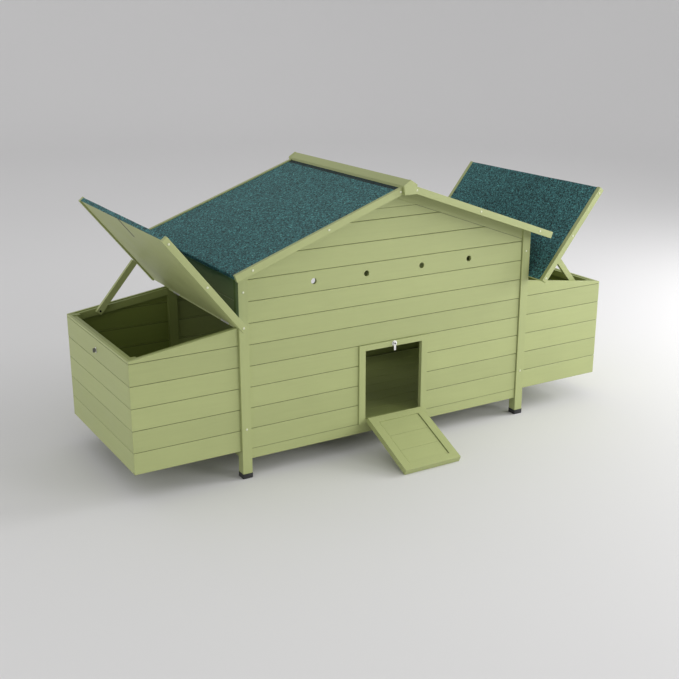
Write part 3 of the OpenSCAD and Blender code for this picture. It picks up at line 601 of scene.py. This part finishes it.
class COOP_OT_timber(bpy.types.Operator):
    """Rounds the edges of the timber and paints it along its grain"""
    bl_idname = "coop.timber"
    bl_label = "Painted timber"
    bl_options = {"REGISTER", "UNDO"}

    def execute(self, context):
        look = context.scene.coop_paint
        across, deep, upright = (1, 0, 0), (0, 1, 0), (0, 0, 1)
        roof = slope_of("roof_felt_left")
        lid = slope_of("left_lid_felt")
        prop_low, prop_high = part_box("right_lid_prop")
        prop = (prop_low.x - prop_high.x, 0, prop_high.z - prop_low.z)
        ramp_low, ramp_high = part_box("ramp_planks")
        ramp = (0, ramp_low.y - ramp_high.y, ramp_low.z - ramp_high.z)

        # Material: grain, stain, nodes
        plain = {
            "paint_along_house": (across, "outside", ("bottom_rails", "nest_lips")),
            "paint_upright": (upright, "outside", ("pop_door_frame", "rear_door_frame",
                                                   "rear_door")),
            "paint_across": (deep, "outside", ("lid_hinge_rails", "ridge_cap")),
            "paint_roof_slope": (roof, "outside", ("bargeboards", "rake_rails")),
            "paint_lid_slope": (lid, "outside", ("left_lid_battens", "right_lid_battens")),
            "paint_prop": (prop, "outside", ("left_lid_prop", "right_lid_prop")),
            "paint_ramp_frame": (ramp, "outside", ("ramp_frame",)),
            "paint_ramp_planks": (across, "outside", ("ramp_planks",)),
            "stain_upright": (upright, "nest_frame", ("left_nest_frame", "right_nest_frame")),
            "stain_across": (deep, "house", ("floor_bearers", "perches", "roof_beams",
                                             "left_nest_divider", "right_nest_divider")),
            "stain_roof_slope": (roof, "roof", ("roof_deck_left", "roof_deck_right")),
            "stain_floor": (across, "house", ("floor_boards",)),
            "stain_nest_floor": (across, "nest", ("left_nest_floor", "right_nest_floor")),
        }
        for name, (along, part, members) in plain.items():
            self.paint(look, painted_timber(name, along, stain=STAIN[part]), members)

        wall_base, wall_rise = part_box("bottom_rails")[1].z, board_rise("left_end_boards")
        nest_base, nest_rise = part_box("left_nest_floor")[0].z, board_rise("left_nest_end")
        wall_joints = ((across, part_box("front_boards")[1].x, look.wall_joint),
                       self.rake_joint(roof, look.gable_joint),
                       (upright, wall_base, look.wall_joint))

        # Material: grain, height of a board, start of the first one, joints, axis, stain, nodes
        boarded = {
            "paint_wall_boards": (across, wall_rise, wall_base, wall_joints, "Y", "house",
                                  ("front_boards", "back_boards")),
            "paint_end_boards": (deep, wall_rise, wall_base, (), "X", "house",
                                 ("left_end_boards", "right_end_boards")),
            "paint_nest_boards": (across, nest_rise, nest_base, (), "Y", "nest",
                                  ("left_nest_front", "left_nest_back",
                                   "right_nest_front", "right_nest_back")),
            "paint_nest_ends": (deep, nest_rise, nest_base, (), "X", "nest",
                                ("left_nest_end", "right_nest_end")),
        }
        for name, (along, rise, base, joints, axis, part, members) in boarded.items():
            inner = (axis, inner_face(members[0], axis), 0, STAIN[part])
            self.paint(look, painted_timber(name, along, rise, base, joints, inner), members)

        inner = ("Y", inner_face("left_nest_front", "Y"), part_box("left_nest_floor")[1].z,
                 STAIN["posts"])
        self.paint(look, painted_timber("paint_posts", upright, inner=inner), ("corner_posts",))
        # Painted shade round the slot in each lid
        slot = (MIDDLE.y, look.slot_shadow_width, slot_start("left_lid_panel"))
        self.paint(look, painted_timber("paint_lid_panel", deep, slot=slot),
                   ("left_lid_panel", "right_lid_panel"))
        return {"FINISHED"}

    def rake_joint(self, roof, half):
        """The slanting joint between the gable boards and the rails under the roof."""
        across_roof = Vector((-roof.z, 0, roof.x))
        points = [Vector((abs(v.co.x), 0, v.co.z)) for v in NODES["front_boards"].data.vertices]
        return across_roof, max(p.dot(across_roof) for p in points), half

    def paint(self, look, material, members):
        """Paints these CAD nodes and eases their edges."""
        for name in members:
            NODES[name].material_slots[0].material = material
            ease_edges(NODES[name], look.edge_round)


# ---------------------------------------------------------------- felt

def sheet_corners(node):
    """Inner top edge, outer top edge and outer bottom edge of a felt sheet, in (x, 0, z)."""
    longest_drop = 0.03
    points = [Vector((round(v.co.x, 6), 0, round(v.co.z, 6))) for v in NODES[node].data.vertices]
    inner = min(points, key=lambda p: (round(abs(p.x), 4), -p.z))
    bottom = max(points, key=lambda p: (p - inner).length)
    near = [p for p in points if (p - bottom).length < longest_drop]
    outer = max(near, key=lambda p: (p - bottom).length)
    return inner, outer, bottom


def felt_sheet(node, name):
    """A sheet of felt on the node's slope, rounded over its outer edge and turned down."""
    look = bpy.context.scene.coop_felt
    inner, outer, bottom = sheet_corners(node)
    low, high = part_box(node)
    width = high.y - low.y
    flat = (outer - inner).length - look.bend
    drop = (bottom - outer).length - look.bend
    deselect()
    bpy.ops.mesh.primitive_grid_add(x_subdivisions=round(flat / look.cell),
                                    y_subdivisions=round(width / look.cell), size=1)
    sheet = bpy.context.object
    pick(sheet, "VERT", lambda v: True)
    bpy.ops.transform.resize(value=(flat, width, 1), center_override=(0, 0, 0))
    bpy.ops.transform.translate(value=(flat / 2, 0, 0))
    leave()
    pick(sheet, "VERT", lambda v: v.co.x > flat - 1e-5)

    # The outer edge goes round a quarter turn and then straight down
    steps = 4
    for step in range(steps):
        here, there = (math.radians(90 * s / steps) for s in (step, step + 1))
        move = (look.bend * (math.sin(there) - math.sin(here)), 0,
                look.bend * (math.cos(there) - math.cos(here)))
        bpy.ops.mesh.extrude_edges_move(TRANSFORM_OT_translate={"value": move})
    for _ in range(2):
        bpy.ops.mesh.extrude_edges_move(TRANSFORM_OT_translate={"value": (0, 0, -drop / 2)})
    bpy.ops.mesh.select_all(action="SELECT")
    bpy.ops.mesh.normals_make_consistent(inside=False)
    leave()
    if sum(f.normal.z for f in sheet.data.polygons) < 0:
        pick(sheet, "FACE", lambda f: True)
        bpy.ops.mesh.flip_normals()
        leave()

    # The ripples go down more than up, so that the sheet stays within its own height
    ripple = bpy.data.textures.new(name + "_ripple", "CLOUDS")
    ripple.noise_scale = 0.16
    use(sheet, "DISPLACE", texture=ripple, texture_coords="LOCAL", strength=look.ripple,
        mid_level=0.72)
    use(sheet, "SOLIDIFY", thickness=look.thick, offset=-1)

    # From flat on the origin to its place on the slope
    run = (outer - inner).normalized()
    normal = Vector((-run.z * math.copysign(1, run.x), 0, abs(run.x)))
    turn = Matrix((run, normal.cross(run), normal)).transposed().to_4x4()
    sheet.matrix_world = Matrix.Translation((inner.x, (low.y + high.y) / 2, inner.z)) @ turn
    settle(sheet)
    sheet.name = sheet.data.name = name
    smooth(sheet, 40)
    return sheet


class COOP_OT_felt(bpy.types.Operator):
    """Lays the mineral felt on the roof and on both lids"""
    bl_idname = "coop.felt"
    bl_label = "Roofing felt"
    bl_options = {"REGISTER", "UNDO"}

    def execute(self, context):
        felt = mineral_felt("mineral_felt")
        middle = Vector((MIDDLE.x, MIDDLE.y, 0))
        half_turn = (Matrix.Translation(middle) @ Matrix.Rotation(math.pi, 4, "Z")
                     @ Matrix.Translation(-middle))
        for left, left_body, right, right_body in (
                ("roof_felt_left", "house", "roof_felt_right", "house"),
                ("left_lid_felt", "left_lid", "right_lid_felt", "right_lid")):
            sheet = felt_sheet(left, left + "_sheet")
            twin = copy_of(sheet, half_turn)
            twin.name = twin.data.name = right + "_sheet"
            finish_piece(sheet, left_body, "roofing_felt", felt, left)
            finish_piece(twin, right_body, "roofing_felt", felt, right)
        return {"FINISHED"}


# ---------------------------------------------------------------- screws

def screw_head(radius, height):
    """A domed screw head with a cross recess, on the origin and facing -Y."""
    look = bpy.context.scene.coop_fittings
    cross_long, cross_wide = radius * 1.15, radius * 0.26
    deselect()
    bpy.ops.mesh.primitive_cylinder_add(vertices=28, radius=radius, depth=height,
                                        location=(0, 0, height / 2))
    head = settle(bpy.context.object)
    pick(head, "EDGE", lambda e: all(head.data.vertices[i].co.z > height * 0.9
                                     for i in e.vertices))
    bpy.ops.mesh.bevel(offset=height * 0.8, segments=4, profile=0.5, affect="EDGES")
    leave()
    for size in ((cross_long, cross_wide), (cross_wide, cross_long)):
        deselect()
        bpy.ops.mesh.primitive_cube_add(size=1, location=(0, 0, height))
        bar = bpy.context.object
        bar.scale = (*size, 2 * look.recess)
        settle(bar)
        use(head, "BOOLEAN", object=bar, operation="DIFFERENCE", solver="EXACT")
        discard(bar)
    head.rotation_euler = (math.radians(90), 0, 0)
    settle(head)
    smooth(head, 35)
    return head


def prop_bolt(length, radius, height):
    """A bolt along Y from the origin, with a domed head of this radius on its far end."""
    look = bpy.context.scene.coop_fittings
    parts = []
    for size, near, far in ((look.shank, 0, length - height), (radius, length - height, length)):
        deselect()
        bpy.ops.mesh.primitive_cylinder_add(vertices=24, radius=size, depth=far - near,
                                            rotation=(math.radians(90), 0, 0),
                                            location=(0, (near + far) / 2, 0))
        parts.append(settle(bpy.context.object))
    head = parts[1]
    pick(head, "EDGE", lambda e: all(head.data.vertices[i].co.y > length - 1e-5
                                     for i in e.vertices))
    bpy.ops.mesh.bevel(offset=height * 0.6, segments=3, affect="EDGES")
    leave()
    bolt = join(parts, "prop_bolt")
    smooth(bolt, 35)
    return bolt


def on_end(low, high, inner):
    """Puts a model on the inner or outer end of a box along Y, half round at the back."""
    front = low.y + high.y < 2 * MIDDLE.y
    end = high.y if front == inner else low.y
    turn = Matrix.Identity(4) if front else Matrix.Rotation(math.pi, 4, "Z")
    return Matrix.Translation(((low.x + high.x) / 2, end, (low.z + high.z) / 2)) @ turn


class COOP_OT_screws(bpy.types.Operator):
    """Puts domed cross-head screws in the bargeboards, the posts and the lids"""
    bl_idname = "coop.screws"
    bl_label = "Screw heads"
    bl_options = {"REGISTER", "UNDO"}

    def execute(self, context):
        look = context.scene.coop_fittings
        boxes = solids("fixing_screws")
        radius = min(high.x - low.x for low, high in boxes) / 2
        height = min(high.y - low.y for low, high in boxes)
        short = [box for box in boxes if box[1].y - box[0].y < 2 * height]
        long = [box for box in boxes if box[1].y - box[0].y >= 2 * height]
        head = screw_head(radius, height)
        bolt = prop_bolt(long[0][1].y - long[0][0].y, radius, height)
        coated = coated_screw("coated_screw")
        # Near-black bolt heads: painted shade of the holes that the props turn in
        black = plated_steel("bolt_with_hole_shade", look.bolt)
        self.fix(head, short, True, "house_screws", "house", coated, "fixing_screws")
        self.fix(bolt, long, False, "prop_bolts", "house", black)
        for lid in ("left_lid", "right_lid"):
            node = lid + "_screws"
            self.fix(head, solids(node), True, lid + "_screw_heads", lid, coated, node)
        discard(head)
        discard(bolt)
        return {"FINISHED"}

    def fix(self, model, boxes, inner, name, body, material, *nodes):
        """Copies of the model on the inner or outer ends of the boxes, as one piece."""
        copies = [copy_of(model, on_end(low, high, inner)) for low, high in boxes]
        finish_piece(join(copies, name), body, "screw_heads", material, *nodes)


# ---------------------------------------------------------------- foot caps

def foot_cap(low, high, leg_z):
    """An open cap with rounded corners and a chamfered foot, hollow down to the leg."""
    look = bpy.context.scene.coop_fittings
    middle = (low + high) / 2
    chamfer = look.cap_chamfer
    rim_reach = (high.x - low.x) / 2 - 0.75 * chamfer
    deselect()
    bpy.ops.mesh.primitive_cube_add(size=1, location=middle)
    cap = bpy.context.object
    cap.scale = high - low
    settle(cap)

    def upright(edge):
        first, second = (cap.data.vertices[i].co.z for i in edge.vertices)
        return abs(first - second) > 0.01

    def foot_rim(vertex):
        away = vertex.co - middle
        return vertex.co.z < low.z + 1e-5 and max(abs(away.x), abs(away.y)) > rim_reach

    pick(cap, "EDGE", upright)
    bpy.ops.mesh.bevel(offset=look.cap_corner, segments=4, affect="EDGES")
    leave()
    pick(cap, "FACE", lambda f: f.normal.z < -0.9)
    bpy.ops.mesh.inset(thickness=chamfer)
    leave()
    pick(cap, "VERT", foot_rim)
    bpy.ops.transform.translate(value=(0, 0, chamfer))
    leave()
    pick(cap, "FACE", lambda f: f.normal.z > 0.9 and f.center.z > high.z - 1e-5)
    bpy.ops.mesh.inset(thickness=look.cap_wall)
    bpy.ops.mesh.extrude_region_move(
        TRANSFORM_OT_translate={"value": (0, 0, leg_z - high.z)})
    leave()
    return cap


class COOP_OT_foot_caps(bpy.types.Operator):
    """Puts a moulded black cap on each leg"""
    bl_idname = "coop.foot_caps"
    bl_label = "Leg caps"
    bl_options = {"REGISTER", "UNDO"}

    def execute(self, context):
        boxes = solids("foot_caps")
        first = boxes[0][0]
        model = foot_cap(*boxes[0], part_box("corner_posts")[0].z)
        caps = [copy_of(model, Matrix.Translation(low - first)) for low, high in boxes]
        discard(model)
        piece = join(caps, "leg_caps")
        outward(piece)
        smooth(piece, 35)
        finish_piece(piece, "house", "cap_plastic", moulded_plastic("moulded_plastic"),
                     "foot_caps")
        return {"FINISHED"}


# ---------------------------------------------------------------- fittings

class COOP_OT_fittings(bpy.types.Operator):
    """Gives the hinges, latches and turn buttons their edges and their zinc"""
    bl_idname = "coop.fittings"
    bl_label = "Hinges and latches"
    bl_options = {"REGISTER", "UNDO"}

    def execute(self, context):
        look = context.scene.coop_fittings
        low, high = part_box("pop_door_button")
        pivot = high.z - (high.x - low.x) / 2
        for material, edge, members in (
                (plated_steel("zinc", look.zinc), look.edge,
                 ("fixed_hinge_leaves", "ramp_hinges", "rear_door_hinges",
                  "rear_door_button", "left_lid_hinges", "right_lid_hinges")),
                # The latch plates and the pop door's button get painted shade round the pivot
                (plated_steel("zinc_with_pivot_shade", look.zinc, pivot), look.edge,
                 ("latch_plates", "pop_door_button")),
                (plated_steel("dark_steel", look.dark), look.knob_edge,
                 ("left_nest_latch", "right_nest_latch"))):
            for name in members:
                NODES[name].material_slots[0].material = material
                ease_edges(NODES[name], edge)
        return {"FINISHED"}


# ---------------------------------------------------------------- stage

class COOP_OT_stage(bpy.types.Operator):
    """Adds the pale studio floor, the soft lights and the camera"""
    bl_idname = "coop.stage"
    bl_label = "Studio"
    bl_options = {"REGISTER", "UNDO"}

    def execute(self, context):
        look = context.scene.coop_stage
        self.floor(look)
        self.lights(context, look)
        self.camera(context, look)
        return {"FINISHED"}

    def floor(self, look):
        """A round floor that curves up into a wall all round."""
        deselect()
        bpy.ops.mesh.primitive_circle_add(vertices=96, radius=look.floor_size,
                                          fill_type="NGON", location=(0, 0, FLOOR_Z))
        floor = settle(bpy.context.object)
        pick(floor, "EDGE", lambda e: True)
        steps = 10
        reach = look.floor_size
        for step in range(steps):
            here, there = (look.floor_rise * s / steps for s in (step, step + 1))
            out = look.floor_bend * (math.sin(there) - math.sin(here))
            up = look.floor_bend * (math.cos(here) - math.cos(there))
            grow = (reach + out) / reach
            bpy.ops.mesh.extrude_edges_move(TRANSFORM_OT_translate={"value": (0, 0, up)})
            bpy.ops.transform.resize(value=(grow, grow, 1), center_override=(0, 0, 0))
            reach += out
        leave()
        smooth(floor, 40)
        floor.name = floor.data.name = "studio_floor"
        material, add = new_material("studio_paper")
        place = add("ShaderNodeTexCoord").outputs["Object"]
        tone = add("ShaderNodeTexNoise", {"Vector": place, "Scale": 0.4, "Detail": 1.0})
        colour = add("ShaderNodeRGB")
        colour.outputs[0].default_value = (*look.floor, 1)
        shade = tinted(add, colour.outputs[0], tone.outputs["Fac"], 0.985, 1.015)
        shaded(add, Base_Color=shade, Roughness=0.75)
        floor.data.materials.append(material)

    def lights(self, context, look):
        """White light from all round and the soft round lights."""
        world = bpy.data.worlds.new("studio_world")
        world.use_nodes = True
        sky = world.node_tree.nodes["Background"]
        sky.inputs["Color"].default_value = (1, 1, 1, 1)
        sky.inputs["Strength"].default_value = look.sky
        context.scene.world = world
        for name, place, size, power in LIGHTS:
            bpy.ops.object.light_add(type="AREA", location=place)
            light = bpy.context.object
            light.name = name
            light.data.shape = "DISK"
            light.data.size = size
            light.data.energy = power
            aim = LIGHTS_AIM - Vector(place)
            light.rotation_euler = aim.to_track_quat("-Z", "Y").to_euler()

    def camera(self, context, look):
        """The camera, and colours shown as they are."""
        bpy.ops.object.camera_add(location=look.eye,
                                  rotation=(math.pi / 2 - look.tilt, 0, -look.turn))
        camera = bpy.context.object
        camera.name = "studio_camera"
        camera.data.lens = look.lens
        camera.data.sensor_width = SENSOR
        context.scene.camera = camera
        context.scene.view_settings.view_transform = "Standard"


# ---------------------------------------------------------------- panel

OPERATORS = (COOP_OT_timber, COOP_OT_felt, COOP_OT_screws, COOP_OT_foot_caps,
             COOP_OT_fittings, COOP_OT_stage)
SETTINGS = (("coop_paint", PaintSettings), ("coop_felt", FeltSettings),
            ("coop_fittings", FittingSettings), ("coop_stage", StageSettings))


class COOP_PT_panel(bpy.types.Panel):
    """Lists the pieces of the hen house and their settings"""
    bl_idname = "COOP_PT_panel"
    bl_label = "Hen House"
    bl_space_type = "VIEW_3D"
    bl_region_type = "UI"
    bl_category = "Hen House"

    def draw(self, context):
        for name, group in SETTINGS:
            box = self.layout.box()
            for key in group.__annotations__:
                box.prop(getattr(context.scene, name), key)
        for operator in OPERATORS:
            self.layout.operator(operator.bl_idname)


def register():
    for name, group in SETTINGS:
        bpy.utils.register_class(group)
        setattr(bpy.types.Scene, name, bpy.props.PointerProperty(type=group))
    for item in (*OPERATORS, COOP_PT_panel):
        bpy.utils.register_class(item)


def unregister():
    for item in (COOP_PT_panel, *reversed(OPERATORS)):
        bpy.utils.unregister_class(item)
    for name, group in reversed(SETTINGS):
        delattr(bpy.types.Scene, name)
        bpy.utils.unregister_class(group)


def main():
    register()
    bpy.ops.coop.timber()
    bpy.ops.coop.felt()
    bpy.ops.coop.screws()
    bpy.ops.coop.foot_caps()
    bpy.ops.coop.fittings()
    bpy.ops.coop.stage()


if __name__ == "__main__":
    main()
